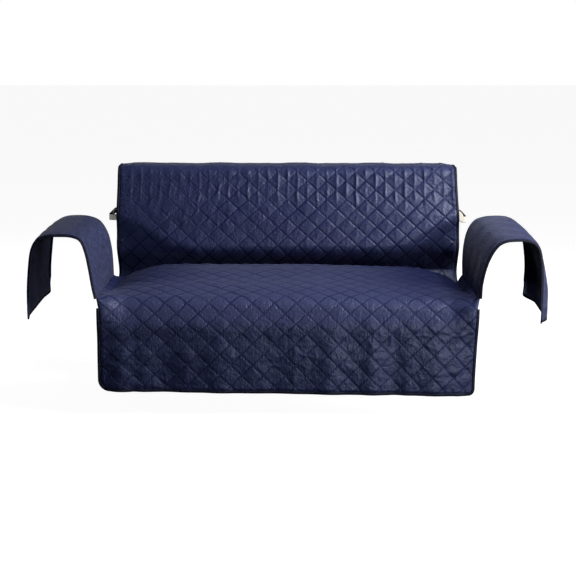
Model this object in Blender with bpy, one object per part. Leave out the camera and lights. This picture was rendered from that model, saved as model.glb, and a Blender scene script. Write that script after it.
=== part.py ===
"""Quilted sofa slipcover, in the shape it takes when it is fitted.

One long quilted panel runs from the rear flap over the top, down the front of
the back, through the crevice, over the seat and down the front as a skirt.
Two plain panels lie over the arms and are sewn to the long panel along the
seat. Tape binds every free edge, and an elastic strap runs round the back.

Lengths are metres. The pieces are drawn in tailor's axes: x across from the
middle, y back from the front of the seat, z up from the floor. The empty that
carries them moves the middle of the top, on its underside, to the origin.
"""

import math
from collections import namedtuple

import bmesh
import bpy
import numpy as np
from mathutils import Vector

# Driving dimensions ---------------------------------------------------------

DIAMOND = 0.083              # a quilted diamond from corner to corner
PITCH = DIAMOND / 2          # from one row of stitch crossings to the next
COLUMNS = 17                 # rows of crossings on each side of the middle
FIRST_ROW = 0.0195           # the first row of crossings above the front hem
PUFF = 0.0065                # height of a diamond's middle above its seams
QUILT_THICKNESS = 0.003      # the long panel at its seams
ARM_THICKNESS = 0.0035       # the plain arm panels
GAP = 0.0003                 # between pieces that are sewn together

SEAM_HALF = 0.728            # middle of the seat to an arm seam
SEAM_HEIGHT = 0.460
SEAM_START = FIRST_ROW + 8 * PITCH       # where the arm seams start and end,
SEAM_END = FIRST_ROW + 21.5 * PITCH      # measured along the long panel
SEAM_TURN = 0.018            # length in which the edge leaves a seam
TOP_HALF = 0.708             # half the width at the top of the back, bound
FOOT_HALF = 0.724            # half the width at the foot of the back, bound
HEM_HALF_LEFT = 0.728        # half the width at the front hem, bound
HEM_HALF_RIGHT = 0.716
HEM_SLOPE = 0.0145           # the front hem falls by this much a metre to the right

SEAT_TOP = 0.500
BACK_TOP = 0.893
TOP_FRONT = 0.690            # depth of the top's front and rear edges
TOP_REAR = 0.905
REAR_HEM = 0.620

CUSHION_BULGE = 0.011        # the seat's front face stands out by this much
CUSHION_TUCK = 0.006         # the skirt draws in by this much under it
SEAT_CROWN = 0.006
GUTTER_FRONT = 0.012         # how far the seat falls beside the arms, in front
GUTTER_REAR = 0.074          # and behind
SEAT_TILT = 0.010            # the right half of the seat is lower by this much
BACK_BULGE = 0.012
BACK_POCKET = 0.030          # the lower corners of the back draw in this far
TOP_SAG_LEFT = 0.005         # the ends of the top are lower than its middle
TOP_SAG_RIGHT = 0.014

BINDING_WIDTH = 0.010
BINDING_THICKNESS = 0.0056
EDGE_MARGIN = 0.010          # from the last row of crossings to an edge, at least
LEFT_CORNER = 0.038          # radii of the long panel's corners
RIGHT_CORNER = 0.018
REAR_CORNER = 0.025

STRAP_WIDTH = 0.025
STRAP_THICKNESS = 0.0016
STRAP_HALF = 0.757           # middle of the back to the strap, at its sides
STRAP_REAR = 0.929           # depth of the strap behind the rear flap
STRAP_BEND = 0.022
STRAP_HEIGHT_LEFT = 0.683
STRAP_START_RIGHT = 0.706    # the right end slopes down to the side
STRAP_HEIGHT_RIGHT = 0.672

# The long panel from the side, front hem to rear hem, with its round corners.
Corner = namedtuple("Corner", "name y z radius")
SIDE_VIEW = (
    Corner("front hem", 0.000, 0.0990, 0.0),
    Corner("seat front", 0.000, 0.466, 0.045),
    Corner("seat rear", 0.592, SEAT_TOP, 0.045),
    Corner("crevice front", 0.614, 0.424, 0.020),
    Corner("crevice rear", 0.668, 0.432, 0.020),
    Corner("back foot", 0.598, 0.556, 0.060),
    Corner("top front", TOP_FRONT, BACK_TOP, 0.055),
    Corner("top rear", TOP_REAR, BACK_TOP, 0.060),
    Corner("rear hem", 0.914, REAR_HEM, 0.0),
)

# Soft upright folds of the skirt: place, half width, depth (out is positive).
Fold = namedtuple("Fold", "x half_width depth")
SKIRT_FOLDS = (
    Fold(-0.64, 0.060, 0.007),
    Fold(-0.47, 0.090, -0.007),
    Fold(-0.26, 0.080, 0.006),
    Fold(-0.05, 0.090, -0.005),
    Fold(0.16, 0.080, 0.007),
    Fold(0.32, 0.050, 0.006),
    Fold(0.41, 0.045, -0.010),
    Fold(0.56, 0.080, 0.006),
    Fold(0.69, 0.050, -0.006),
)

# The arm panels at their front and rear edges: out from the middle, and up,
# and how far the cloth between those edges stands out from a straight run.
ArmPoint = namedtuple("ArmPoint", "front_x front_z rear_x rear_z swell")
LEFT_ARM = (
    ArmPoint(0.728, 0.460, 0.728, 0.460, 0.000),
    ArmPoint(0.738, 0.510, 0.730, 0.520, 0.002),
    ArmPoint(0.748, 0.575, 0.735, 0.575, 0.003),
    ArmPoint(0.761, 0.640, 0.749, 0.635, 0.003),
    ArmPoint(0.780, 0.685, 0.778, 0.682, 0.003),
    ArmPoint(0.815, 0.702, 0.818, 0.701, 0.003),
    ArmPoint(0.865, 0.705, 0.868, 0.706, 0.003),
    ArmPoint(0.914, 0.702, 0.920, 0.701, 0.003),
    ArmPoint(0.950, 0.684, 0.957, 0.680, 0.004),
    ArmPoint(0.971, 0.645, 0.978, 0.640, 0.006),
    ArmPoint(0.982, 0.575, 0.988, 0.570, 0.009),
    ArmPoint(0.989, 0.480, 0.996, 0.480, 0.010),
    ArmPoint(0.988, 0.388, 0.994, 0.392, 0.009),
)
RIGHT_ARM = (
    ArmPoint(0.728, 0.460, 0.728, 0.460, 0.000),
    ArmPoint(0.731, 0.515, 0.727, 0.520, 0.002),
    ArmPoint(0.744, 0.576, 0.731, 0.581, 0.003),
    ArmPoint(0.763, 0.625, 0.744, 0.640, 0.003),
    ArmPoint(0.789, 0.664, 0.770, 0.682, 0.002),
    ArmPoint(0.820, 0.682, 0.806, 0.698, 0.002),
    ArmPoint(0.860, 0.687, 0.850, 0.703, 0.003),
    ArmPoint(0.905, 0.685, 0.902, 0.700, 0.003),
    ArmPoint(0.938, 0.670, 0.943, 0.680, 0.004),
    ArmPoint(0.956, 0.638, 0.970, 0.645, 0.006),
    ArmPoint(0.965, 0.576, 0.986, 0.580, 0.014),
    ArmPoint(0.967, 0.470, 0.994, 0.480, 0.029),
    ArmPoint(0.964, 0.371, 0.984, 0.378, 0.032),
)
ARM_GIRTH_STEPS = 24
ARM_DEPTH_STEPS = 13
SWELL_FRONT = 0.16           # share of the depth in which the swell comes up
SWELL_REAR = 0.25


# Curves ---------------------------------------------------------------------

def smooth(value):
    """Ease from 0 to 1 as value goes from 0 to 1."""
    value = min(max(value, 0.0), 1.0)
    return value * value * (3 - 2 * value)


def hump(distance, half_width):
    """A soft bump of height 1 that ends half_width from its middle."""
    if abs(distance) >= half_width:
        return 0.0
    return (1 + math.cos(math.pi * distance / half_width)) / 2


class SideCurve:
    """A polyline with round corners, read by the length along it."""

    def __init__(self, corners, arc_step=math.radians(4)):
        points = [(corners[0].y, corners[0].z)]
        marks = {corners[0].name: 0}
        for before, corner, after in zip(corners, corners[1:], corners[2:]):
            arc = self.corner_arc(before, corner, after, arc_step)
            marks[corner.name] = len(points) + len(arc) // 2
            points.extend(arc)
        points.append((corners[-1].y, corners[-1].z))
        marks[corners[-1].name] = len(points) - 1
        self.points = np.array(points)
        steps = np.linalg.norm(np.diff(self.points, axis=0), axis=1)
        self.lengths = np.concatenate(([0.0], np.cumsum(steps)))
        self.total = float(self.lengths[-1])
        self.mark = {name: float(self.lengths[i]) for name, i in marks.items()}

    @staticmethod
    def corner_arc(before, corner, after, arc_step):
        here = Vector((corner.y, corner.z))
        back = (Vector((before.y, before.z)) - here).normalized()
        ahead = (Vector((after.y, after.z)) - here).normalized()
        half = back.angle(ahead) / 2
        centre = here + (back + ahead).normalized() * corner.radius / math.sin(half)
        start = here + back * corner.radius / math.tan(half) - centre
        sweep = math.pi - 2 * half
        if back.x * ahead.y - back.y * ahead.x > 0:
            sweep = -sweep
        count = max(2, round(abs(sweep) / arc_step))
        arc = []
        for k in range(count + 1):
            turn = sweep * k / count
            turned_y = start.x * math.cos(turn) - start.y * math.sin(turn)
            turned_z = start.x * math.sin(turn) + start.y * math.cos(turn)
            arc.append((centre.x + turned_y, centre.y + turned_z))
        return arc

    def at(self, length):
        y = float(np.interp(length, self.lengths, self.points[:, 0]))
        z = float(np.interp(length, self.lengths, self.points[:, 1]))
        return y, z


def through(knots, count):
    """Points at even steps on a smooth curve through the knots."""
    padded = [2 * knots[0] - knots[1], *knots, 2 * knots[-1] - knots[-2]]
    dense = []
    for a, b, c, d in zip(padded, padded[1:], padded[2:], padded[3:]):
        for k in range(8):
            t = k / 8
            bend = 2 * a - 5 * b + 4 * c - d
            twist = 3 * b - a - 3 * c + d
            dense.append(0.5 * (2 * b + (c - a) * t + bend * t ** 2 + twist * t ** 3))
    dense.append(knots[-1])
    dense = np.array(dense)
    steps = np.linalg.norm(np.diff(dense, axis=0), axis=1)
    lengths = np.concatenate(([0.0], np.cumsum(steps)))
    wanted = np.linspace(0.0, lengths[-1], count + 1)
    return [np.array([np.interp(w, lengths, column) for column in dense.T]) for w in wanted]


SIDE = SideCurve(SIDE_VIEW)
MARK = SIDE.mark
SEAM_FRONT = SIDE.at(SEAM_START)[0]
SEAM_REAR = SIDE.at(SEAM_END)[0]


# The long panel's surface ---------------------------------------------------

def sewn_share(length):
    """1 where the long panel's edge is sewn to an arm panel, 0 where it is free."""
    front = smooth((length - SEAM_START) / SEAM_TURN + 1)
    rear = smooth((SEAM_END - length) / SEAM_TURN + 1)
    return min(front, rear)


def reach(length, side):
    """Half the width of the long panel, without its binding."""
    hem_half = HEM_HALF_RIGHT if side > 0 else HEM_HALF_LEFT
    bound = SEAM_HALF + (hem_half - SEAM_HALF) * smooth(1 - length / MARK["seat front"])
    if length > MARK["back foot"]:
        rise = (length - MARK["back foot"]) / (MARK["top front"] - MARK["back foot"])
        bound = FOOT_HALF + (TOP_HALF - FOOT_HALF) * smooth(rise)
    elif length > MARK["seat rear"]:
        back = (length - MARK["seat rear"]) / (MARK["back foot"] - MARK["seat rear"])
        bound = SEAM_HALF + (FOOT_HALF - SEAM_HALF) * smooth(back)
    return bound - BINDING_WIDTH * (1 - sewn_share(length))


def corner_inset(length, side):
    """How far a round corner draws the edge in, near the front and rear hems."""
    radius = RIGHT_CORNER if side > 0 else LEFT_CORNER
    from_end = length
    if length > SIDE.total / 2:
        radius = REAR_CORNER
        from_end = SIDE.total - length
    if from_end >= radius:
        return 0.0
    return radius - math.sqrt(radius ** 2 - (radius - from_end) ** 2)


def panel_point(length, x):
    """A point of the long panel's middle surface."""
    y, z = SIDE.at(length)
    outer = abs(x)
    gutter = PITCH * COLUMNS
    front_edge, rear_edge = MARK["seat front"], MARK["seat rear"]
    foot, top_front, top_rear = MARK["back foot"], MARK["top front"], MARK["top rear"]

    # The skirt hangs from the cushion's rounded front, a little uneven.
    hang = min(max(1 - length / front_edge, 0.0), 1.0)
    y -= CUSHION_BULGE * hump(length - front_edge + 0.070, 0.085)
    y += CUSHION_TUCK * hump(length - front_edge + 0.165, 0.050)
    for fold in SKIRT_FOLDS:
        y -= fold.depth * hump(x - fold.x, fold.half_width) * smooth(hang * 1.25)
    z -= HEM_SLOPE * x * hang

    # The seat is crowned, and falls into a gutter along each arm seam.
    seat = min(smooth((length - front_edge + 0.050) / 0.060),
               smooth((MARK["crevice rear"] + 0.030 - length) / 0.100))
    fall = GUTTER_FRONT + (GUTTER_REAR - GUTTER_FRONT) * smooth(y / 0.45)
    roll = min(max((outer - 0.40) / (gutter - 0.40), 0.0), 1.0) ** 3
    z += seat * SEAT_CROWN * hump(length - (front_edge + rear_edge) / 2, 0.30)
    z -= seat * (fall * roll + SEAT_TILT * smooth(x / 0.5))
    if outer > gutter:
        rise = min((outer - gutter) / (SEAM_HALF - gutter), 1.0) * sewn_share(length)
        z += (SEAM_HEIGHT - z) * rise
        y += (min(max(y, SEAM_FRONT), SEAM_REAR) - y) * rise

    # The back bulges forward, and draws back at its lower corners.
    face = (length - foot) / (top_front - foot)
    y -= BACK_BULGE * hump(face - 0.45, 0.55) * (1 - smooth((outer - 0.45) / 0.28))
    y += BACK_POCKET * hump(length - foot, 0.160) * smooth((outer - 0.50) / 0.22)

    # The top edge is slightly wavy, and lower at its ends.
    top = smooth(1 - abs(length - (top_front + top_rear) / 2) / 0.22)
    z += top * (0.0015 * math.sin(20 * x + 0.8) + 0.0010 * math.sin(37 * x))
    sag = TOP_SAG_RIGHT if x > 0 else TOP_SAG_LEFT
    z -= top * sag * smooth((outer - 0.655) / 0.05)
    return Vector((x, y, z))


def panel_normal(length, x, at_edge=False):
    """The outward direction: to the front, up or to the rear."""
    step = 0.0015
    low, high = max(length - step, 0.0), min(length + step, SIDE.total)
    along = panel_point(high, x) - panel_point(low, x)
    left = x if at_edge and x < 0 else x - step
    right = x if at_edge and x > 0 else x + step
    across = panel_point(length, right) - panel_point(length, left)
    normal = across.cross(along).normalized()
    if at_edge:
        sewn = sewn_share(length)
        to_middle = Vector((-math.copysign(1.0, x), 0, 0))
        normal = (normal * (1 - sewn) + to_middle * sewn).normalized()
    return normal


def puff_height(column, length):
    """Height of the quilting's diamonds above their seams."""
    row = (length - FIRST_ROW) / PITCH + 1
    heights = []
    for diagonal in (column + row, column - row):
        from_seam = (diagonal - 1) / 2
        heights.append(1 - 2 * abs(from_seam - round(from_seam)))
    return PUFF * min(heights)


# Meshes ---------------------------------------------------------------------

COLLECTION = "sofa_slipcover"

Finish = namedtuple("Finish", "colour roughness")
FINISHES = {
    "quilted cloth": Finish((0.026, 0.032, 0.085), 0.55),
    "plain cloth": Finish((0.030, 0.037, 0.094), 0.60),
    "binding tape": Finish((0.010, 0.013, 0.042), 0.60),
    "elastic": Finish((0.80, 0.76, 0.70), 0.75),
}


def material(name):
    if name in bpy.data.materials:
        return bpy.data.materials[name]
    made = bpy.data.materials.new(name)
    made.use_nodes = True
    shader = made.node_tree.nodes["Principled BSDF"]
    shader.inputs["Base Color"].default_value = (*FINISHES[name].colour, 1)
    shader.inputs["Roughness"].default_value = FINISHES[name].roughness
    shader.inputs["Metallic"].default_value = 0.0
    return made


def add_piece(name, points, faces, finish, carrier):
    """A named object from points and faces, with its faces turned outward."""
    mesh = bpy.data.meshes.new(name)
    mesh.from_pydata([tuple(p) for p in points], [], faces)
    shell = bmesh.new()
    shell.from_mesh(mesh)
    bmesh.ops.recalc_face_normals(shell, faces=shell.faces)
    if shell.calc_volume(signed=True) < 0:
        bmesh.ops.reverse_faces(shell, faces=shell.faces)
    shell.to_mesh(mesh)
    shell.free()
    mesh.materials.append(material(finish))
    mesh.shade_smooth()
    mesh.set_sharp_from_angle(angle=math.radians(50))
    piece = bpy.data.objects.new(name, mesh)
    bpy.data.collections[COLLECTION].objects.link(piece)
    piece.parent = carrier
    return piece


class Sheet:
    """Points in pairs, one on each face of the cloth, found by a key."""

    def __init__(self, thickness):
        self.half = thickness / 2
        self.points = []
        self.outer = {}
        self.inner = {}
        self.faces = []

    def add(self, key, place, normal, raised=0.0):
        self.outer[key] = len(self.points)
        self.points.append(place + normal * (self.half + raised))
        self.inner[key] = len(self.points)
        self.points.append(place - normal * self.half)

    def cover(self, keys):
        self.faces.append([self.outer[key] for key in keys])
        self.faces.append([self.inner[key] for key in reversed(keys)])

    def close(self, ring):
        for a, b in zip(ring, ring[1:] + ring[:1]):
            self.faces.append([self.outer[b], self.outer[a], self.inner[a], self.inner[b]])


# The long panel -------------------------------------------------------------

CORNER_ROWS = (0.0, 0.003, 0.010)        # finer rows at the round corners


def crossing_rows():
    count = int((SIDE.total - CORNER_ROWS[-1] - 0.006 - FIRST_ROW) / PITCH) + 1
    return [FIRST_ROW + PITCH * k for k in range(count)]


def column_place(length, column):
    """x of a column; the outermost ones are the panel's edges."""
    side = 1 if column > 0 else -1
    half = reach(length, side) - corner_inset(length, side)
    if abs(column) > COLUMNS:
        return side * half
    return column * min(PITCH, (half - EDGE_MARGIN) / COLUMNS)


def main_panel(carrier):
    sheet = Sheet(QUILT_THICKNESS)
    crossings = crossing_rows()
    rows = [*CORNER_ROWS, *crossings, *(SIDE.total - d for d in reversed(CORNER_ROWS))]
    first = len(CORNER_ROWS)
    last = first + len(crossings) - 1
    edge = COLUMNS + 1
    columns = range(-edge, edge + 1)

    def add(key, length, column):
        at_edge = abs(column) == edge
        x = column_place(length, column)
        place = panel_point(length, x)
        if at_edge:
            place.z -= GAP / 2 * sewn_share(length)
        bound = at_edge or length in (0.0, SIDE.total)
        raised = 0.0 if bound else puff_height(column, length)
        sheet.add(key, place, panel_normal(length, x, at_edge), raised)

    for r, length in enumerate(rows):
        for c in columns:
            add((r, c), length, c)
        if first <= r < last:
            for c in (-edge, edge):
                add((r + 0.5, c), (length + rows[r + 1]) / 2, c)

    for r in range(len(rows) - 1):
        quilted = first <= r < last
        for c in range(-edge, edge):
            near_left, near_right = (r, c), (r, c + 1)
            far_left, far_right = (r + 1, c), (r + 1, c + 1)
            if quilted and c == -edge:
                middle = (r + 0.5, c)
                sheet.cover([near_left, near_right, middle])
                sheet.cover([middle, near_right, far_right])
                sheet.cover([middle, far_right, far_left])
            elif quilted and c == COLUMNS:
                middle = (r + 0.5, edge)
                sheet.cover([near_left, near_right, middle])
                sheet.cover([near_left, middle, far_left])
                sheet.cover([far_left, middle, far_right])
            elif (r - first + 1 + c) % 2 == 0:
                sheet.cover([near_left, near_right, far_right])
                sheet.cover([near_left, far_right, far_left])
            else:
                sheet.cover([near_left, near_right, far_left])
                sheet.cover([near_right, far_right, far_left])

    edge_rows = sorted(key[0] for key in sheet.outer if key[1] == edge)
    ring = [(0, c) for c in columns]
    ring += [(r, edge) for r in edge_rows[1:]]
    ring += [(len(rows) - 1, c) for c in reversed(columns[:-1])]
    ring += [(r, -edge) for r in reversed(edge_rows[1:-1])]
    sheet.close(ring)
    add_piece("main_panel", sheet.points, sheet.faces, "quilted cloth", carrier)


# Arm panels -----------------------------------------------------------------

class ArmSurface:
    """The middle surface of one arm panel, from its seam to its outer hem."""

    def __init__(self, table, side):
        knots = [np.array(row, dtype=float) for row in table]
        self.stations = [ArmPoint(*row) for row in through(knots, ARM_GIRTH_STEPS)]
        self.side = side

    def straight(self, station, depth):
        """A point on the straight run from the front edge to the rear edge."""
        row = self.stations[station]
        out = row.front_x + (row.rear_x - row.front_x) * depth
        up = row.front_z + (row.rear_z - row.front_z) * depth
        y = SEAM_FRONT + (SEAM_REAR - SEAM_FRONT) * depth
        return Vector((self.side * out, y, up))

    def across(self, station, depth):
        """The direction straight out of the cloth, ignoring its swell."""
        last = ARM_GIRTH_STEPS
        here = self.straight(min(station + 1, last), depth)
        around = here - self.straight(max(station - 1, 0), depth)
        if station == 0:
            around = Vector((0, 0, 1))
        along = self.straight(station, 1.0) - self.straight(station, 0.0)
        return (around.cross(along) * self.side).normalized()

    def at(self, station, depth):
        between = min(smooth(depth / SWELL_FRONT), smooth((1 - depth) / SWELL_REAR))
        swell = self.stations[station].swell * between
        return self.straight(station, depth) + self.across(station, depth) * swell

    def normal(self, station, depth):
        if station == 0:
            return Vector((-self.side, 0, 0))
        step = 0.5 / ARM_DEPTH_STEPS
        low, high = station - 1, min(station + 1, ARM_GIRTH_STEPS)
        near, far = max(depth - step, 0.0), min(depth + step, 1.0)
        around = self.at(high, depth) - self.at(low, depth)
        along = self.at(station, far) - self.at(station, near)
        return (around.cross(along) * self.side).normalized()


def arm_panel(name, surface, carrier):
    sheet = Sheet(ARM_THICKNESS)
    girths, depths = range(ARM_GIRTH_STEPS + 1), range(ARM_DEPTH_STEPS + 1)
    for g in girths:
        for d in depths:
            place = surface.at(g, d / ARM_DEPTH_STEPS)
            if g == 0:
                place.z += GAP / 2
            sheet.add((g, d), place, surface.normal(g, d / ARM_DEPTH_STEPS))
    for g in girths[:-1]:
        for d in depths[:-1]:
            sheet.cover([(g, d), (g + 1, d), (g + 1, d + 1), (g, d + 1)])
    ring = [(g, 0) for g in girths]
    ring += [(girths[-1], d) for d in depths[1:]]
    ring += [(g, depths[-1]) for g in reversed(girths[:-1])]
    ring += [(0, d) for d in reversed(depths[1:-1])]
    sheet.close(ring)
    add_piece(name, sheet.points, sheet.faces, "plain cloth", carrier)


# Binding --------------------------------------------------------------------

def bar_through(name, rings, finish, carrier):
    """A closed bar lofted through rings of equal count."""
    sides = len(rings[0])
    points = [point for ring in rings for point in ring]
    faces = [list(reversed(range(sides)))]
    for start in range(0, len(points) - sides, sides):
        for s in range(sides):
            t = (s + 1) % sides
            faces.append([start + s, start + t, start + sides + t, start + sides + s])
    faces.append(list(range(len(points) - sides, len(points))))
    add_piece(name, points, faces, finish, carrier)


def binding(name, places, normals, beside, carrier):
    """Tape folded round an edge; beside holds points of the cloth next to it."""
    rings = []
    last = len(places) - 1
    for k, place in enumerate(places):
        along = (places[min(k + 1, last)] - places[max(k - 1, 0)]).normalized()
        normal = (normals[k] - along * normals[k].dot(along)).normalized()
        outward = normal.cross(along)
        if outward.dot(beside[k] - place) > 0:
            outward = -outward
        held = place + outward * GAP
        fold = place + outward * BINDING_WIDTH
        thick = normal * (BINDING_THICKNESS / 2)
        thin = normal * (BINDING_THICKNESS / 3)
        rings.append([held + thick, held - thick, fold - thin, fold + thin])
    bar_through(name, rings, "binding tape", carrier)


def panel_binding(name, stops, carrier):
    """Binding along stops on the long panel's edge, each a length and a column."""
    edge = COLUMNS + 1
    places, normals, beside = [], [], []
    for length, column in stops:
        x = column_place(length, column)
        places.append(panel_point(length, x))
        normals.append(panel_normal(length, x, abs(column) == edge))
        inner_length = min(max(length, 0.06), SIDE.total - 0.06)
        beside.append(panel_point(inner_length, x * 0.9))
    binding(name, places, normals, beside, carrier)


def main_bindings(carrier):
    crossings = crossing_rows()
    lengths = [*CORNER_ROWS, *crossings, *(SIDE.total - d for d in CORNER_ROWS)]
    lengths += [(a + b) / 2 for a, b in zip(crossings, crossings[1:])]
    lengths.sort()
    edge = COLUMNS + 1
    between = range(-COLUMNS, COLUMNS + 1)

    up = [length for length in lengths if length < SEAM_START - SEAM_TURN]
    stops = [(length, -edge) for length in reversed(up)]
    stops += [(0.0, column) for column in between]
    stops += [(length, edge) for length in up]
    panel_binding("binding_skirt", stops, carrier)

    over = [length for length in lengths if length > SEAM_END + SEAM_TURN]
    stops = [(length, -edge) for length in over]
    stops += [(SIDE.total, column) for column in between]
    stops += [(length, edge) for length in reversed(over)]
    panel_binding("binding_back", stops, carrier)


def arm_binding(name, surface, carrier):
    """Round the front edge, the outer hem and the rear edge in one length."""
    last = ARM_GIRTH_STEPS
    girths, depths = range(last + 1), range(1, ARM_DEPTH_STEPS)
    stops = [(g, 0.0) for g in girths]
    stops += [(last, d / ARM_DEPTH_STEPS) for d in depths]
    stops += [(g, 1.0) for g in reversed(girths)]
    places = [surface.at(g, d) for g, d in stops]
    normals = [surface.normal(g, d) for g, d in stops]
    beside = [surface.at(min(g, last - 1), min(max(d, 0.1), 0.9)) for g, d in stops]
    binding(name, places, normals, beside, carrier)


# Strap ----------------------------------------------------------------------

def strap_length_at(height):
    """The length along the long panel at which its back face has this height."""
    low, high = MARK["back foot"], MARK["top front"]
    while high - low > 0.0005:
        middle = (low + high) / 2
        if SIDE.at(middle)[1] < height:
            low = middle
        else:
            high = middle
    return low


def strap_side(side, start_height, end_height):
    """The strap from under the panel's edge, round one side, to the rear."""
    length = strap_length_at(start_height)
    half = reach(length, side)
    under = (BINDING_THICKNESS + STRAP_THICKNESS) / 2 + 5 * GAP
    places, widths = [], []
    for outer, fall in ((half - 0.015, 0.0), (half + BINDING_WIDTH + 0.003, 0.35)):
        height = start_height + (end_height - start_height) * fall
        here = strap_length_at(height)
        near = panel_point(here, side * (half - 0.002))
        normal = panel_normal(here, side * half, at_edge=True)
        outward = (near - panel_point(here, side * (half - 0.006))).normalized()
        places.append(near + outward * (outer - half + 0.002) - normal * under)
        widths.append(Vector((0, normal.z, -normal.y)).normalized())
    front = places[1].y + (end_height - places[1].z) * widths[1].y / widths[1].z + 0.004
    turns = [(front + STRAP_BEND, turn) for turn in (0.0, 0.33, 0.67, 1.0)]
    turns += [(STRAP_REAR - STRAP_BEND, turn) for turn in (1.0, 1.33, 1.67, 2.0)]
    for centre_y, turn in turns:
        angle = math.pi / 2 * turn
        across = STRAP_HALF - STRAP_BEND * (1 - math.sin(angle))
        places.append(Vector((side * across, centre_y - STRAP_BEND * math.cos(angle), end_height)))
    widths.append(widths[1])
    widths += [Vector((0, 0, 1))] * (len(places) - len(widths))
    return places, widths


def strap(carrier):
    left, left_widths = strap_side(-1, STRAP_HEIGHT_LEFT, STRAP_HEIGHT_LEFT)
    right, right_widths = strap_side(1, STRAP_START_RIGHT, STRAP_HEIGHT_RIGHT)
    places = left + right[::-1]
    widths = left_widths + right_widths[::-1]
    rings = []
    last = len(places) - 1
    for k, place in enumerate(places):
        along = (places[min(k + 1, last)] - places[max(k - 1, 0)]).normalized()
        width = (widths[k] - along * widths[k].dot(along)).normalized()
        flat = width * (STRAP_WIDTH / 2)
        thick = along.cross(width) * (STRAP_THICKNESS / 2)
        rings.append([place + flat + thick, place + flat - thick,
                      place - flat - thick, place - flat + thick])
    bar_through("strap", rings, "elastic", carrier)


def build():
    for old in list(bpy.data.objects):
        bpy.data.objects.remove(old)
    collection = bpy.data.collections.new(COLLECTION)
    bpy.context.scene.collection.children.link(collection)
    carrier = bpy.data.objects.new("slipcover", None)
    top_middle = (TOP_FRONT + TOP_REAR) / 2
    carrier.location = (0, -top_middle, -(BACK_TOP - QUILT_THICKNESS / 2))
    collection.objects.link(carrier)

    main_panel(carrier)
    main_bindings(carrier)
    for label, table, side in (("left", LEFT_ARM, -1), ("right", RIGHT_ARM, 1)):
        surface = ArmSurface(table, side)
        arm_panel(f"arm_panel_{label}", surface, carrier)
        arm_binding(f"binding_arm_{label}", surface, carrier)
    strap(carrier)


build()
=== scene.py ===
"""The looks of a fitted, diamond-quilted slipcover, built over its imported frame."""

import math
from collections import namedtuple

import bpy
import numpy as np
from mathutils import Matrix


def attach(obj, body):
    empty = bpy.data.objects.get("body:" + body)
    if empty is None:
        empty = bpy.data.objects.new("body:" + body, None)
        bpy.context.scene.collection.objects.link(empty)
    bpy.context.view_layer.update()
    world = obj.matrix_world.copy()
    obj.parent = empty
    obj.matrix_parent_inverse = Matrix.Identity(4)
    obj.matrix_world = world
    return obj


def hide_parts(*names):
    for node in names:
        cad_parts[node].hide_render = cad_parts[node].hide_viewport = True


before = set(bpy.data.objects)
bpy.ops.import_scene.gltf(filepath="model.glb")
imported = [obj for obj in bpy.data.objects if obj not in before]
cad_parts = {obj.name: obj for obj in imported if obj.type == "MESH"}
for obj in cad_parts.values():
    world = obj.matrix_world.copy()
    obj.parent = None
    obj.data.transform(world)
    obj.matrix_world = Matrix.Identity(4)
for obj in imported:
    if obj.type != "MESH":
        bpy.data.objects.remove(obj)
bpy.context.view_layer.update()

# ----------------------------------------
# The long quilted panel: two faces of brushed microfibre with wadding between
# them, stitched in diamonds. It lies over the back and the seat in one length,
# is pushed into the crevice between them, and hangs in front as a skirt.

# Pieces are drawn with x across from the middle, y back from the front of the
# seat and z up from the floor, in metres. The frame's origin lies here in those
# axes, at the middle of the cover's top.
DRAWN_FROM = np.array((0.0, 0.7975, 0.8915))
DIAMOND = 0.083
PITCH = DIAMOND / 2
COLUMNS = 17
FIRST_ROW = 0.0195
QUILT_THICKNESS = 0.003
SEAM_HALF = 0.728
SEAM_HEIGHT = 0.460
SEAM_START = FIRST_ROW + 8 * PITCH
SEAM_END = FIRST_ROW + 21.5 * PITCH
SEAM_TURN = 0.018
FOOT_HALF = 0.727
HEM_SLOPE = 0.0145
BINDING_WIDTH = 0.010
BINDING_THICKNESS = 0.0056
GAP = 0.0003
TOP_FLARE, FLAP_RADIUS = 0.003, 0.025
Edge = namedtuple("Edge", "hem_half top_half hem_radius")
LEFT_EDGE, RIGHT_EDGE = Edge(0.728, 0.719, 0.038), Edge(0.716, 0.715, 0.018)

Corner = namedtuple("Corner", "name y z radius")
SIDE_VIEW = (
    Corner("front hem", 0.000, 0.0990, 0.0),
    Corner("seat front", 0.000, 0.466, 0.045),
    Corner("seat rear", 0.592, 0.500, 0.045),
    Corner("crevice front", 0.614, 0.424, 0.020),
    Corner("crevice rear", 0.668, 0.432, 0.020),
    Corner("back foot", 0.598, 0.556, 0.060),
    Corner("top front", 0.690, 0.893, 0.055),
    Corner("top rear", 0.905, 0.893, 0.060),
    Corner("rear hem", 0.914, 0.620, 0.0),
)
Fold = namedtuple("Fold", "x half_width depth")
SKIRT_FOLDS = (
    Fold(-0.64, 0.060, 0.007),
    Fold(-0.47, 0.090, -0.007),
    Fold(-0.26, 0.080, 0.006),
    Fold(-0.05, 0.090, -0.005),
    Fold(0.16, 0.080, 0.007),
    Fold(0.32, 0.050, 0.006),
    Fold(0.41, 0.055, -0.007),
    Fold(0.56, 0.080, 0.006),
    Fold(0.69, 0.050, -0.006),
)


def smooth(value):
    """Ease from 0 to 1 as value goes from 0 to 1."""
    value = np.clip(value, 0.0, 1.0)
    return value * value * (3 - 2 * value)


def hump(distance, half_width):
    """A soft bump of height 1 that ends half_width from its middle."""
    return (1 + np.cos(np.pi * np.clip(distance / half_width, -1, 1))) / 2


def unit(vectors):
    """The same directions, each of length 1."""
    return vectors / np.linalg.norm(vectors, axis=-1, keepdims=True)


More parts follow.
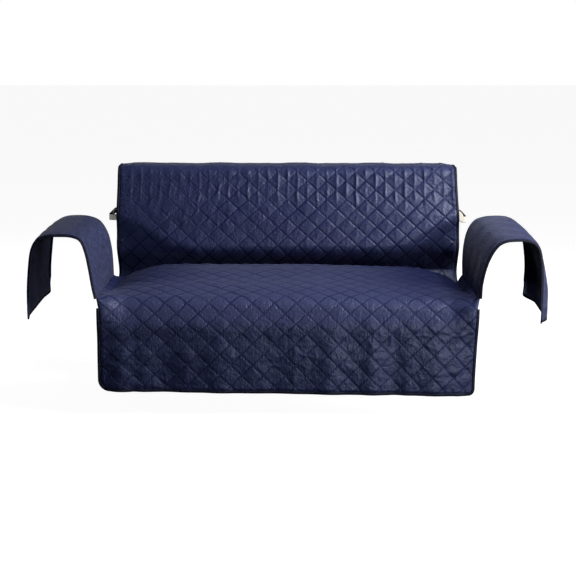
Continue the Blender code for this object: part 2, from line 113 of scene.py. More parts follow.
def corner_arc(before, corner, after):
    """Points of the arc that rounds one corner of the side view."""
    here = np.array((corner.y, corner.z))
    back = unit(np.array((before.y, before.z)) - here)
    ahead = unit(np.array((after.y, after.z)) - here)
    half = math.acos(float(back @ ahead)) / 2
    centre = here + unit(back + ahead) * corner.radius / math.sin(half)
    start = here + back * corner.radius / math.tan(half) - centre
    sweep = math.pi - 2 * half
    if back[0] * ahead[1] - back[1] * ahead[0] > 0:
        sweep = -sweep
    turn = np.linspace(0, sweep, max(3, round(abs(sweep) / math.radians(4)) + 1))
    return np.stack((centre[0] + start[0] * np.cos(turn) - start[1] * np.sin(turn),
                     centre[1] + start[0] * np.sin(turn) + start[1] * np.cos(turn)), axis=1)


def lengths_along(path):
    """The length along a path of points to each of them."""
    steps = np.linalg.norm(np.diff(path, axis=0), axis=1)
    return np.concatenate(([0.0], np.cumsum(steps)))


def side_curve():
    """The side view's points, the length to each, and the length to each corner."""
    points = [np.array(((SIDE_VIEW[0].y, SIDE_VIEW[0].z),))]
    marks, count = {}, 1
    for before, corner, after in zip(SIDE_VIEW, SIDE_VIEW[1:], SIDE_VIEW[2:]):
        arc = corner_arc(before, corner, after)
        marks[corner.name] = count + (len(arc) - 1) // 2
        points.append(arc)
        count += len(arc)
    points.append(np.array(((SIDE_VIEW[-1].y, SIDE_VIEW[-1].z),)))
    points = np.concatenate(points)
    lengths = lengths_along(points)
    return points, lengths, {name: float(lengths[i]) for name, i in marks.items()}


# MARK gives the length along the side view to the middle of each rounded corner.
SIDE_POINTS, SIDE_LENGTHS, MARK = side_curve()
TOTAL = float(SIDE_LENGTHS[-1])


def side_at(length):
    """How far back and how high the side view is at a length along it."""
    return (np.interp(length, SIDE_LENGTHS, SIDE_POINTS[:, 0]),
            np.interp(length, SIDE_LENGTHS, SIDE_POINTS[:, 1]))


SEAM_FRONT = float(side_at(SEAM_START)[0])
SEAM_REAR = float(side_at(SEAM_END)[0])


def sewn_share(length):
    """1 where the panel's edge is sewn to an arm panel, 0 where it is free."""
    return np.minimum(smooth((length - SEAM_START) / SEAM_TURN + 1),
                      smooth((SEAM_END - length) / SEAM_TURN + 1))


def panel_half(length, edge):
    """Half the panel's width without its binding, round corners included."""
    bound = SEAM_HALF + (edge.hem_half - SEAM_HALF) * smooth(1 - length / MARK["seat front"])
    back = (length - MARK["seat rear"]) / (MARK["back foot"] - MARK["seat rear"])
    rise = (length - MARK["back foot"]) / (MARK["top front"] - MARK["back foot"])
    bound = np.where(back > 0, SEAM_HALF + (FOOT_HALF - SEAM_HALF) * smooth(back), bound)
    bound = np.where(rise > 0, FOOT_HALF + (edge.top_half - FOOT_HALF) * smooth(rise), bound)
    crest = smooth(1 - abs(length - MARK["top rear"] + 0.05) / 0.16)
    half = bound + TOP_FLARE * crest - BINDING_WIDTH * (1 - sewn_share(length))
    for from_end, radius in ((length, edge.hem_radius), (TOTAL - length, FLAP_RADIUS)):
        short = np.clip(radius - from_end, 0, radius)
        half = half - (radius - np.sqrt(radius ** 2 - short ** 2))
    return half


# How far the cloth lies from the plain side view, in metres.
SKIRT_BULGE, SKIRT_HOLLOW = 0.006, 0.003
FRONT_SET_BACK, FRONT_ROUND_BACK, FRONT_ROUND_DOWN = 0.010, 0.020, 0.013
SEAT_CROWN, SEAT_RIDGE, SEAT_TILT = 0.006, 0.009, 0.010
GUTTER_FRONT, GUTTER_REAR = 0.005, 0.069
BACK_BULGE, BACK_BOW, RIGHT_SET_BACK = 0.012, 0.026, 0.010
LIP_RISE, CORNER_RISE, TUCK, TUCK_SLOPE = 0.025, 0.13, 0.045, 0.22
TOP_LIFT, TOP_TILT, TOP_WAVES = 0.0025, 0.003, (0.0015, 0.0010)
TOP_DROP_LEFT, TOP_DROP_RIGHT = 0.003, 0.010


def panel_middle(length, x):
    """Points of the panel's middle surface."""
    length, x = np.broadcast_arrays(np.asarray(length, float), np.asarray(x, float))
    y, z = side_at(length)
    outer = abs(x)
    gutter = PITCH * COLUMNS
    front_edge, rear_edge = MARK["seat front"], MARK["seat rear"]
    foot, top_front, top_rear = MARK["back foot"], MARK["top front"], MARK["top rear"]

    # The skirt hangs from the seat's rounded front edge, a little uneven.
    hang = np.clip(1 - length / front_edge, 0, 1)
    y = y - SKIRT_BULGE * hump(length - front_edge + 0.070, 0.085)
    y = y + SKIRT_HOLLOW * hump(length - front_edge + 0.165, 0.060)
    crown = (smooth((length - front_edge + 0.115) / 0.125)
             * smooth((front_edge + 0.32 - length) / 0.26))
    y = y + FRONT_SET_BACK * crown * (1 - smooth((outer - 0.63) / 0.09))
    rounded = hump(length - front_edge, 0.16) * (1 - smooth((outer - 0.61) / 0.10))
    y, z = y + FRONT_ROUND_BACK * rounded, z - FRONT_ROUND_DOWN * rounded
    for fold in SKIRT_FOLDS:
        y = y - fold.depth * hump(x - fold.x, fold.half_width) * smooth(hang * 1.25)
    z = z - HEM_SLOPE * x * hang

    # The seat is crowned, and falls into a gutter along each arm seam.
    seat = np.minimum(smooth((length - front_edge + 0.050) / 0.060),
                      smooth((MARK["crevice rear"] + 0.030 - length) / 0.100))
    fall = GUTTER_FRONT + GUTTER_REAR * smooth(y / 0.45)
    roll = np.clip((outer - 0.40) / (gutter - 0.40), 0, 1) ** 3
    z = z + seat * SEAT_CROWN * hump(length - (front_edge + rear_edge) / 2, 0.30)
    z = z + seat * SEAT_RIDGE * hump(length - rear_edge + 0.18, 0.15)
    z = z - seat * (fall * roll + SEAT_TILT * smooth(x / 0.5))
    rise = np.clip((outer - gutter) / (SEAM_HALF - gutter), 0, 1) * sewn_share(length)
    z = z + (SEAM_HEIGHT - z) * rise
    y = y + (np.clip(y, SEAM_FRONT, SEAM_REAR) - y) * rise

    # The back bulges forward in the middle, and its sides bow back.
    face = (length - foot) / (top_front - foot)
    y = y - BACK_BULGE * hump(face - 0.45, 0.55) * (1 - smooth((outer - 0.45) / 0.28))
    bowed = smooth((face + 0.1) / 0.4) * smooth((1.35 - face) / 0.5)
    y = y + BACK_BOW * (x / 0.70) ** 2 * bowed

    # Its foot is tucked under along a lip, which climbs towards the corners.
    lip = foot + LIP_RISE + CORNER_RISE * np.clip((outer - 0.38) / 0.33, 0, 1) ** 1.4
    below = np.clip(lip - length, 0, 0.30)
    tucked = smooth((length - MARK["crevice front"]) / 0.05)
    drawn_in = TUCK * smooth(below / 0.13) + TUCK_SLOPE * below * smooth((outer - 0.35) / 0.30)
    y = y + drawn_in * tucked
    y = y + (RIGHT_SET_BACK * smooth((x - 0.60) / 0.09) * smooth((face - 0.35) / 0.25)
             * smooth((1.6 - face) / 0.5))

    # The top edge is slightly wavy, and lower at its ends.
    top = smooth(1 - abs(length - (top_front + top_rear) / 2) / 0.22)
    wavy = TOP_WAVES[0] * np.sin(20 * x + 0.8) + TOP_WAVES[1] * np.sin(37 * x)
    z = z + top * (TOP_LIFT - TOP_TILT * x + wavy)
    drop = np.where(x > 0, TOP_DROP_RIGHT, TOP_DROP_LEFT)
    z = z - top * drop * smooth((outer - 0.655) / 0.05)
    return np.stack((x, y, z), axis=-1) - DRAWN_FROM


def directions(points):
    """The normal of a grid of points, right-hand from its rows to its columns."""
    return unit(np.cross(np.gradient(points, axis=1), np.gradient(points, axis=0)))


# Where the quilting lies: its row at each length, and its columns from edge to edge.
QuiltRow = namedtuple("QuiltRow", "length row")
QUILT_ROWS = (
    QuiltRow(0.0195, 0.0),
    QuiltRow(0.9900, 23.4),
    QuiltRow(1.1800, 27.5),
    QuiltRow(1.5000, 35.8),
    QuiltRow(1.9700, 47.1),
)
QuiltWidth = namedtuple("QuiltWidth", "length left_column middle_x right_column")
QUILT_WIDTHS = (
    QuiltWidth(0.00, 16.95, -0.0126, 17.85),
    QuiltWidth(0.36, 17.05, -0.0110, 17.70),
    QuiltWidth(1.18, 17.20, -0.0024, 17.30),
    QuiltWidth(2.00, 17.20, 0.0000, 17.20),
)


def from_table(table, key, value, at):
    """A value of a table, read between its rows."""
    places, values = zip(*((getattr(row, key), getattr(row, value)) for row in table))
    return np.interp(at, places, values)


# The panel's grid follows the stitching, and is finest where cloth puckers.
STEPS = np.array((0.0, 0.08, 0.22, 0.40, 0.60, 0.78, 0.92))
HEM_ROWS = np.array((0.0, 0.0015, 0.004, 0.008, 0.0135))
LEFT_FULL, RIGHT_FULL, ROWS_FULL, EDGE_CELLS = 16, 17, 47, 5
quilt_rows = np.append((np.arange(ROWS_FULL)[:, None] + STEPS).ravel(), ROWS_FULL)
quilt_lengths = from_table(QUILT_ROWS, "row", "length", quilt_rows)
row_lengths = np.concatenate((HEM_ROWS, quilt_lengths, TOTAL - HEM_ROWS[:4][::-1]))
full_columns = np.arange(-LEFT_FULL, RIGHT_FULL)[:, None] + STEPS
full_columns = np.append(full_columns.ravel(), RIGHT_FULL)
edge_share = np.arange(1, EDGE_CELLS + 1) / EDGE_CELLS
left_edge = from_table(QUILT_WIDTHS, "length", "left_column", row_lengths)[:, None]
right_edge = from_table(QUILT_WIDTHS, "length", "right_column", row_lengths)[:, None]
middle_x = from_table(QUILT_WIDTHS, "length", "middle_x", row_lengths)[:, None]
column_grid = np.concatenate((
    -LEFT_FULL - (left_edge - LEFT_FULL) * edge_share[::-1],
    np.broadcast_to(full_columns, (len(row_lengths), len(full_columns))),
    RIGHT_FULL + (right_edge - RIGHT_FULL) * edge_share), axis=1)
length_grid = np.broadcast_to(row_lengths[:, None], column_grid.shape)
half_left = panel_half(row_lengths, LEFT_EDGE)[:, None]
half_right = panel_half(row_lengths, RIGHT_EDGE)[:, None]
x_grid = np.where(column_grid < 0,
                  middle_x + column_grid / left_edge * (half_left + middle_x),
                  middle_x + column_grid / right_edge * (half_right - middle_x))
row_grid = from_table(QUILT_ROWS, "length", "row", length_grid)
row_grid = row_grid - np.clip(FIRST_ROW - length_grid, 0, 1) / PITCH
middle_grid = panel_middle(length_grid, x_grid)
normal_grid = directions(middle_grid)

# Which diamond each point is in, and how far it is from that one's seams.
draw = np.random.default_rng(20)
left_seams = (column_grid + row_grid - 1) / 2
right_seams = (column_grid - row_grid - 1) / 2
left_cell, right_cell = np.floor(left_seams), np.floor(right_seams)
left_part, right_part = left_seams - left_cell, right_seams - right_cell
off_x = column_grid - (left_cell + right_cell + 2)
off_row = row_grid - (left_cell - right_cell)
CELLS = 90


def each_diamond(low, high):
    """One seeded value for every diamond, spread over the grid."""
    values = draw.uniform(low, high, (CELLS, CELLS))
    return values[left_cell.astype(int) % CELLS, right_cell.astype(int) % CELLS]


# Shares of the relief from place to place: hanging, sat on, leant on, rolled over.
on_skirt = 1 - smooth((length_grid - MARK["seat front"] + 0.10) / 0.08)
on_seat = np.minimum(smooth((length_grid - MARK["seat front"] - 0.02) / 0.20),
                     smooth((MARK["crevice front"] - length_grid) / 0.03))
on_back = smooth((length_grid - MARK["back foot"]) / 0.05)
at_top = np.minimum(smooth((length_grid - MARK["top front"] + 0.025) / 0.05),
                    smooth((MARK["top rear"] + 0.050 - length_grid) / 0.06))
near_top = smooth((length_grid - MARK["top front"] + 0.19) / 0.10)
to_right = smooth((x_grid + 0.45) / 0.90)
calm_corner = (smooth((-0.10 - x_grid) / 0.40)
               * smooth((length_grid - MARK["back foot"] - 0.10) / 0.14))
flatness = (1 + 0.40 * on_seat) * (1 - 0.80 * at_top) * (1 - 0.55 * calm_corner)

# Each diamond is a low dome between its seams, pulled out along one of them
# where the cloth is drawn that way.
PUFF = 0.0032
dome = (np.sin(np.pi * left_part) * np.sin(np.pi * right_part)) ** 0.55
pulled_left = 0.45 * on_skirt * smooth((x_grid - 0.05) / 0.25)
pulled_right = 0.50 * on_back * smooth((x_grid + 0.30) / 0.50)
across_left = np.sin(np.pi * left_part) ** 0.6
across_right = np.sin(np.pi * right_part) ** 0.6
puff = (dome * (1 - pulled_left - pulled_right)
        + pulled_left * across_left + pulled_right * across_right)
puff = (PUFF * (1 + 0.45 * to_right * on_back) * puff * each_diamond(0.70, 1.30)
        * (1 - 0.05 * on_skirt) * flatness)

# An upright pucker through each diamond; near the top they run on through the seams.
PUCKER, UPRIGHT_FOLD = 0.0023, 0.0042
pucker_share = ((0.30 + 0.70 * to_right) * (0.35 + 0.30 * on_back + 0.80 * near_top)
                * (1 - 0.9 * on_seat) * (1 - 0.8 * at_top))
pucker_share = pucker_share * (1 - 0.6 * on_skirt)
pucker_place = off_x - each_diamond(-0.14, 0.14) - 0.06 * np.sin(5 * off_row)
pucker = (PUCKER * each_diamond(0.0, 1.25) * hump(pucker_place, 0.21)
          * (1 - smooth((abs(off_row) - 0.2) / each_diamond(0.35, 0.75))) * pucker_share)
upright = abs(column_grid - np.round(column_grid - 0.04) + 0.04 * np.sin(2.1 * row_grid))
upright_fold = UPRIGHT_FOLD * hump(upright, 0.15) * each_diamond(0.2, 1.2)
pucker = pucker + upright_fold * near_top * pucker_share


def grain(across, up, width, height):
    """Seeded smooth noise from -1 to 1, in patches of one size."""
    values = draw.uniform(-1, 1, (CELLS, CELLS))
    across, up = across / width, up / height
    column, low = np.floor(across).astype(int), np.floor(up).astype(int)
    share, rise = smooth(across - column), smooth(up - low)
    left, right = column % CELLS, (column + 1) % CELLS
    low, high = low % CELLS, (low + 1) % CELLS
    under = values[left, low] * (1 - share) + values[right, low] * share
    over = values[left, high] * (1 - share) + values[right, high] * share
    return under * (1 - rise) + over * rise


# Crumples: upright on the back, mostly level on the hanging skirt.
CRUMPLE_BACK, CRUMPLE_SKIRT = 0.0012, 0.0017
slant = x_grid * 0.25 * np.sin(length_grid * 9 + x_grid * 5)
crumple_back = (1 - abs(grain(x_grid, length_grid, 0.022, 0.050))) ** 2 * on_back
level = grain(x_grid + slant, length_grid + 0.3 * slant, 0.055, 0.022)
leaning = grain(x_grid + length_grid, length_grid - x_grid, 0.035, 0.030)
crumple_skirt = (1 - abs(level)) ** 2 + 0.8 * (1 - abs(leaning)) ** 2
crumple = (CRUMPLE_BACK * crumple_back * (1 - 0.8 * at_top)
           + CRUMPLE_SKIRT * crumple_skirt * on_skirt)

# Small creases where the hanging cloth is slack: place, slope, size.
Crease = namedtuple("Crease", "x up turn length half_width height")
SKIRT_CREASES = (
    Crease(0.325, 0.205, 82, 0.045, 0.007, 0.0035),
    Crease(0.392, 0.195, 84, 0.060, 0.007, 0.0035),
    Crease(0.432, 0.235, 86, 0.050, 0.006, 0.0030),
    Crease(0.365, 0.165, -12, 0.050, 0.008, 0.0030),
    Crease(0.470, 0.190, -28, 0.050, 0.007, 0.0025),
    Crease(0.560, 0.215, -8, 0.070, 0.008, 0.0030),
    Crease(0.540, 0.180, -20, 0.060, 0.008, 0.0025),
    Crease(0.660, 0.225, 12, 0.045, 0.007, 0.0030),
    Crease(0.690, 0.150, 40, 0.050, 0.007, 0.0030),
    Crease(-0.600, 0.160, 5, 0.070, 0.008, 0.0025),
    Crease(-0.640, 0.130, 30, 0.040, 0.006, 0.0025),
    Crease(-0.420, 0.150, -6, 0.080, 0.008, 0.0025),
    Crease(-0.210, 0.135, 8, 0.080, 0.008, 0.0022),
    Crease(0.080, 0.140, -10, 0.070, 0.008, 0.0022),
)


def crease_height(creases, x, up):
    """The height of a set of short soft ridges at each point."""
    height = np.zeros_like(x)
    for crease in creases:
        slope = math.radians(crease.turn)
        along = (x - crease.x) * math.cos(slope) + (up - crease.up) * math.sin(slope)
        across = (up - crease.up) * math.cos(slope) - (x - crease.x) * math.sin(slope)
        bend = across - 0.15 * crease.length * (along / crease.length) ** 2
        height += crease.height * hump(bend, crease.half_width) * hump(along, crease.length)
    return height


CREASE_LENGTHS, CREASE_WIDTHS = (0.018, 0.045), (0.006, 0.009)


def slack_creases(count, x_span, up_span, turns, heights):
    """Seeded creases scattered over one area of the cloth."""
    spans = (x_span, up_span, turns, CREASE_LENGTHS, CREASE_WIDTHS, heights)
    return [Crease(*(draw.uniform(*span) for span in spans)) for _ in range(count)]


# Each patch: how many, across, along the cloth, their slopes and their heights.
BACK_PATCHES = (
    (240, (-0.69, 0.69), (1.20, 1.54), (60, 120), (0.0004, 0.0014)),
    (60, (-0.69, 0.69), (1.20, 1.54), (20, 60), (0.0004, 0.0012)),
    (170, (-0.70, -0.10), (1.28, 1.54), (45, 80), (0.0008, 0.0026)),
    (60, (0.20, 0.70), (1.24, 1.54), (35, 60), (0.0008, 0.0024)),
)
SEAT_CORNER = (SEAM_END - 0.17, SEAM_END + 0.03)
SEAT_PATCHES = (
    (26, (-0.70, -0.52), SEAT_CORNER, (-60, -20), (0.0020, 0.0045)),
    (26, (0.52, 0.70), SEAT_CORNER, (20, 60), (0.0020, 0.0045)),
)
SKIRT_PATCHES = (
    (46, (-0.70, 0.70), (0.005, 0.13), (-35, 35), (0.0008, 0.0020)),
    (34, (-0.70, 0.70), (0.12, 0.22), (-25, 25), (0.0006, 0.0016)),
    (30, (0.20, 0.70), (0.05, 0.34), (60, 120), (0.0008, 0.0020)),
    (16, (0.60, 0.705), (0.04, 0.34), (-20, 20), (0.0015, 0.0025)),
    (12, (-0.71, -0.64), (0.04, 0.34), (-20, 20), (0.0010, 0.0020)),
)
back_set, seat_set, skirt_set = (
    [crease for patch in patches for crease in slack_creases(*patch)]
    for patches in (BACK_PATCHES, SEAT_PATCHES, SKIRT_PATCHES))
back_creases = crease_height(back_set, x_grid, length_grid) * (1 - 0.9 * at_top)
back_creases = back_creases + crease_height(seat_set, x_grid, length_grid)
slack = crease_height([*SKIRT_CREASES, *skirt_set], x_grid, length_grid) * on_skirt

# The binding gathers the cloth beside it into small ripples, and holds its edge flat.
RIPPLE, EDGE_FLAT = 0.0012, 0.009
edge_distance = np.where(x_grid > 0, half_right - x_grid, half_left + x_grid)
end_distance = np.minimum(length_grid, TOTAL - length_grid)
ripple_side = (np.sin(length_grid * 310 + 2 * np.sin(length_grid * 41))
               * np.sin(length_grid * 97 + 1.3) * hump(edge_distance - 0.012, 0.035))
ripple_end = (np.sin(x_grid * 290 + 2 * np.sin(x_grid * 37))
              * np.sin(x_grid * 83) * hump(end_distance - 0.010, 0.030))
ripple = RIPPLE * (ripple_side + 0.7 * ripple_end)

relief = puff + pucker + crumple + back_creases + slack + ripple
free = smooth(np.minimum(edge_distance, end_distance) / EDGE_FLAT)
outer_grid = middle_grid + normal_grid * (QUILT_THICKNESS / 2 + relief * free)[..., None]
inner_grid = middle_grid - normal_grid * (QUILT_THICKNESS / 2)


scene = bpy.context.scene


def pattern_piece(name, points, faces, places):
    """A smooth piece, with the place on its cut cloth of each corner of its faces."""
    mesh = bpy.data.meshes.new(name)
    mesh.from_pydata(points.tolist(), [], faces)
    pattern = mesh.uv_layers.new(name="pattern")
    pattern.data.foreach_set("uv", np.asarray(places, np.float32).ravel())
    mesh.shade_smooth()
    piece = bpy.data.objects.new(name, mesh)
    scene.collection.objects.link(piece)
    return piece


def cloth_piece(name, outer, inner, places, kept_rows, kept_columns, turned=False):
    """A closed sheet of cloth from two grids of points.

    The inner face keeps only some rows and columns. places gives the pattern's
    UVs, and turned says which quads are split along their other diagonal.
    """
    rows, across = outer.shape[:2]
    number = np.arange(rows * across).reshape(rows, across)
    a, b, c, d = (number[:-1, :-1], number[:-1, 1:], number[1:, 1:], number[1:, :-1])
    quads = np.where(np.broadcast_to(turned, a.shape)[..., None],
                     np.stack((b, c, d, a), axis=-1), np.stack((a, b, c, d), axis=-1))
    kept = np.ix_(kept_rows, kept_columns)
    under = np.arange(len(kept_rows) * len(kept_columns)).reshape(len(kept_rows), -1)
    under += rows * across
    e, f, g, h = (under[:-1, :-1], under[:-1, 1:], under[1:, 1:], under[1:, :-1])
    flipped = np.stack((e, h, g, f), axis=-1)
    faces = quads.reshape(-1, 4).tolist() + flipped.reshape(-1, 4).tolist()
    for top, low, marks, turn in ((number[0], under[0], kept_columns, 1),
                                  (number[:, -1], under[:, -1], kept_rows, 1),
                                  (number[-1], under[-1], kept_columns, -1),
                                  (number[:, 0], under[:, 0], kept_rows, -1)):
        for k, (start, end) in enumerate(zip(marks, marks[1:])):
            around = [*top[start:end + 1][::-1], low[k], low[k + 1]]
            faces.append([int(corner) for corner in around[::turn]])
    points = np.concatenate((outer.reshape(-1, 3), inner[kept].reshape(-1, 3)))
    both = np.concatenate((places.reshape(-1, 2), places[kept].reshape(-1, 2)))
    corners = np.concatenate([np.asarray(face) for face in faces])
    return pattern_piece(name, points, faces, both[corners])


def every(count, step, first=0):
    """Indices from 0 to count - 1 that keep both ends and every step-th one."""
    return sorted({0, count - 1, *range(first, count, step)})


def cell_offset(seams):
    """How far the middle of each grid cell is from the nearest of the seams."""
    middles = (seams[:-1, :-1] + seams[1:, 1:]) / 2
    return abs(middles - np.round(middles))


panel_places = np.stack((column_grid, row_grid), axis=-1)
long_panel = cloth_piece("quilted_panel", outer_grid, inner_grid, panel_places,
                         every(len(row_lengths), len(STEPS), len(HEM_ROWS)),
                         every(column_grid.shape[1], len(STEPS), EDGE_CELLS),
                         cell_offset(left_seams) < cell_offset(right_seams))


class Wire:
    """A node's output, so that shader maths reads as plain sums."""

    def __init__(self, tree, socket):
        self.tree = tree
        self.socket = socket

    def add(self, kind, settings=None, output=0, **values):
        """A node of any other type: its settings first, then its inputs."""
        node = self.tree.nodes.new(kind)
        for key, value in (settings or {}).items():
            setattr(node, key, value)
        for key, value in values.items():
            numbered = key[1:].isdigit()
            plug = node.inputs[int(key[1:]) if numbered else key.replace("_", " ")]
            if isinstance(value, Wire):
                self.tree.links.new(value.socket, plug)
            else:
                plug.default_value = value
        return Wire(self.tree, node.outputs[output])

    def math(self, operation, *values):
        inputs = {f"i{k}": value for k, value in enumerate(values)}
        return self.add("ShaderNodeMath", {"operation": operation}, **inputs)

    def __add__(self, other):
        return self.math("ADD", self, other)

    def __sub__(self, other):
        return self.math("SUBTRACT", self, other)

    def __rsub__(self, other):
        return self.math("SUBTRACT", other, self)

    def __mul__(self, other):
        return self.math("MULTIPLY", self, other)

    def __truediv__(self, other):
        return self.math("DIVIDE", self, other)

    def __abs__(self):
        return self.math("ABSOLUTE", self)

    def __lt__(self, other):
        return self.math("LESS_THAN", self, other)

    def floor(self):
        return self.math("FLOOR", self)

    def fract(self):
        return self.math("FRACT", self)

    def sine(self):
        return self.math("SINE", self)

    def least(self, other):
        return self.math("MINIMUM", self, other)

    def ease(self, low, high):
        """0 below low, 1 above high, and a smooth step between them."""
        settings = {"interpolation_type": "SMOOTHSTEP"}
        return self.add("ShaderNodeMapRange", settings, Value=self, From_Min=low, From_Max=high)

    def blend(self, first, second):
        """A colour from first to second as this value goes from 0 to 1."""
        settings = {"data_type": "RGBA"}
        return self.add("ShaderNodeMix", settings, output=2, i0=self, i6=first, i7=second)

    def noise(self, scale, detail=2.0, **more):
        """Soft noise from 0 to 1, at the place that this wire gives."""
        return self.add("ShaderNodeTexNoise", Vector=self, Scale=scale, Detail=detail, **more)

    __radd__ = __add__
    __rmul__ = __mul__


def new_cloth(name):
    """An empty material, its shader, and a first wire into its node tree."""
    made = bpy.data.materials.new(name)
    made.use_nodes = True
    shader = made.node_tree.nodes["Principled BSDF"]
    return made, shader, Wire(made.node_tree, None)


def on_pattern(start):
    """The place on the cut cloth, and its two parts."""
    places = start.add("ShaderNodeUVMap", {"uv_map": "pattern"})
    first = start.add("ShaderNodeSeparateXYZ", Vector=places)
    return places, first, Wire(first.tree, first.socket.node.outputs[1])


def set_sockets(shader, **values):
    for key, value in values.items():
        shader.inputs[key.replace("_", " ")].default_value = value


def finish_cloth(shader, start, colour, roughness, height, **gloss):
    """Join colour, roughness and a height in metres to the shader, and set its gloss."""
    bump = start.add("ShaderNodeBump", Strength=1.0, Distance=1.0, Height=height)
    for key, wire in (("Base Color", colour), ("Roughness", roughness), ("Normal", bump)):
        start.tree.links.new(wire.socket, shader.inputs[key])
    set_sockets(shader, **gloss)


# The first navy is the colour of the painted shade in the seams and the seat's rear corners.
NAVY_PAINTED_SHADE = (0.0080, 0.0110, 0.0480, 1)
NAVY = (0.0176, 0.0235, 0.0780, 1)
NAVY_WORN = (0.0262, 0.0334, 0.0980, 1)
# The next navy is painted light, laid over the seat's front edge.
NAVY_PAINTED_LIGHT = (0.0360, 0.0440, 0.1180, 1)
MICROFIBRE_SHEEN = {"Sheen_Weight": 0.10, "Sheen_Roughness": 0.40,
                    "Sheen_Tint": (0.94, 0.97, 1.0, 1)}
SIDE_OF_DIAMOND = DIAMOND / math.sqrt(2)
STITCHES_A_SIDE = 17
STITCH_LENGTH, STITCH_HALF_WIDTH = 0.64, 0.0007


def quilted_cloth():
    made, shader, start = new_cloth("quilted microfibre")
    _, column, row = on_pattern(start)

    # Distance to the nearest stitched seam, in metres, and place along it.
    left = (column + row - 1.0) * 0.5
    right = (column - row - 1.0) * 0.5
    to_left = 0.5 - abs(left.fract() - 0.5)
    to_right = 0.5 - abs(right.fract() - 0.5)
    seam = to_left.least(to_right) * SIDE_OF_DIAMOND
    on_left = to_left < to_right
    along = on_left * right + (1 - on_left) * left
    in_stitch = abs((along * STITCHES_A_SIDE).fract() - 0.5) < STITCH_LENGTH / 2
    stitch = in_stitch * (seam < STITCH_HALF_WIDTH)
    groove = seam.ease(0.0002, 0.0060)

    # One crisp upright crease through each diamond, each of its own height.
    cell = start.add("ShaderNodeCombineXYZ", X=left.floor(), Y=right.floor())
    chance = start.add("ShaderNodeTexWhiteNoise", {"noise_dimensions": "2D"}, Vector=cell)
    off_x = column - left.floor() - right.floor() - 2.0
    off_row = row - left.floor() + right.floor()
    off_x = off_x + (off_row * 6.0 + chance * 6.3).sine() * 0.035 + (chance - 0.5) * 0.16
    crease = (1 - abs(off_x).ease(0.0, 0.16)) * (1 - abs(off_row).ease(0.25, 0.80)) * chance

    # Brushed nap, and fine upright puckers that start at the seams.
    x, y = column * PITCH, row * PITCH
    flat = start.add("ShaderNodeCombineXYZ", X=x, Y=y)
    nap = flat.noise(900.0)
    clouds = flat.noise(28.0, 3.0)
    crinkle = 1 - abs(flat.noise(55.0, 1.0, Distortion=0.5) * 2.0 - 1.0)
    speckle = flat.noise(115.0, Roughness=0.6)
    gathers = start.add("ShaderNodeCombineXYZ", X=x * 150.0, Y=y * 34.0).noise(1.0)
    leaning = start.add("ShaderNodeCombineXYZ", X=(x - y * 0.55) * 190.0,
                        Y=(y + x * 0.55) * 42.0).noise(1.0, 1.5)

    # Painted light: the cloth is painted paler over the seat's front edge, most of all at the
    # left, standing in for light and sheen there.
    painted_seat_light = row.ease(1.5, 8.0) * (1 - row.ease(13.0, 19.0) * 0.6) * (1 - row.ease(20.0, 22.0))
    painted_seat_light = painted_seat_light * (1 - column.ease(-8.0, 14.0) * 0.6)
    colour = (clouds.ease(0.35, 0.75) * 0.7 + nap * 0.3).blend(NAVY, NAVY_WORN)
    colour = painted_seat_light.blend(colour, NAVY_PAINTED_LIGHT)
    colour = (stitch * 0.5).blend(colour, NAVY)
    roughness = 0.36 + clouds * 0.10 + nap * 0.05

    # Heights in metres; the back's right half is drawn deeper into its seams.
    pulled = column.ease(-6.0, 8.0) * row.ease(24.0, 27.0)
    height = seam.ease(0.0, 0.0080) * (0.0005 + pulled * 0.0012) + stitch * 0.0003
    height = height + nap * 0.0001 + clouds * 0.0010 + crinkle * 0.0011 + speckle * 0.0013
    height = height + crease * 0.0002 + gathers * (1 - seam.ease(0.003, 0.020)) * 0.0022
    height = height + leaning * row.ease(24.0, 26.0) * 0.0011
    finish_cloth(shader, start, colour, roughness, height, Specular_IOR_Level=0.50,
                 Specular_Tint=(0.80, 0.86, 1.0, 1), **MICROFIBRE_SHEEN)

    # Painted shade: down in the seams the cloth would see little light, so a dark matte shader
    # with no sheen is mixed in there. The same painted shade darkens the rear corners of the seat,
    # which lie deep between the arms.
    painted_shade = start.add("ShaderNodeBsdfPrincipled", Base_Color=NAVY_PAINTED_SHADE, Roughness=0.9,
                       Specular_IOR_Level=0.0)
    sat_on = row.ease(8.5, 12.5) * (1 - row.ease(21.5, 23.5))
    uneven = flat.noise(6.0).ease(0.30, 0.62)
    corner = row.ease(28.5, 32.0) * (1 - column.ease(-15.0, -5.0))
    # strength is how much painted shade is mixed in.
    strength = (0.85 - sat_on * 0.25) * (0.45 + uneven * 0.55) * (1 - row.ease(33.0, 37.0) * 0.5)
    strength = strength * (1 - corner * 0.65) * (0.85 + row.ease(7.0, 9.0) * 0.15)
    # gutter here is the painted shade of the seat's rear corners.
    gutter = abs(column).ease(6.0, 14.0) * row.ease(10.0, 16.0) * (1 - row.ease(21.5, 23.5)) * 0.60
    strength = (1 - groove) * strength * (1 - gutter) + gutter
    cloth = Wire(start.tree, shader.outputs[0])
    both = start.add("ShaderNodeMixShader", i0=strength, i1=cloth, i2=painted_shade)
    surface = made.node_tree.nodes["Material Output"].inputs["Surface"]
    start.tree.links.new(both.socket, surface)
    return made


long_panel.data.materials.append(quilted_cloth())
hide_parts("main_panel")
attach(long_panel, "root")

# ----------------------------------------
# The arm panels: plain doubled microfibre, sewn along the seat's sides. Each
# goes up the inside of an arm, over its top and down its outer side.

ARM_THICKNESS = 0.0035
ARM_GIRTH_CELLS, ARM_DEPTH_CELLS = 130, 96
SWELL_FRONT, SWELL_REAR = 0.16, 0.25
ARM_WAVE, ARM_GATHER, ARM_EDGE_FLAT = 0.0012, 0.0008, 0.012
UNDER_GIRTH_STEP, UNDER_DEPTH_STEP = 5, 8
KNOT_STEPS = 8

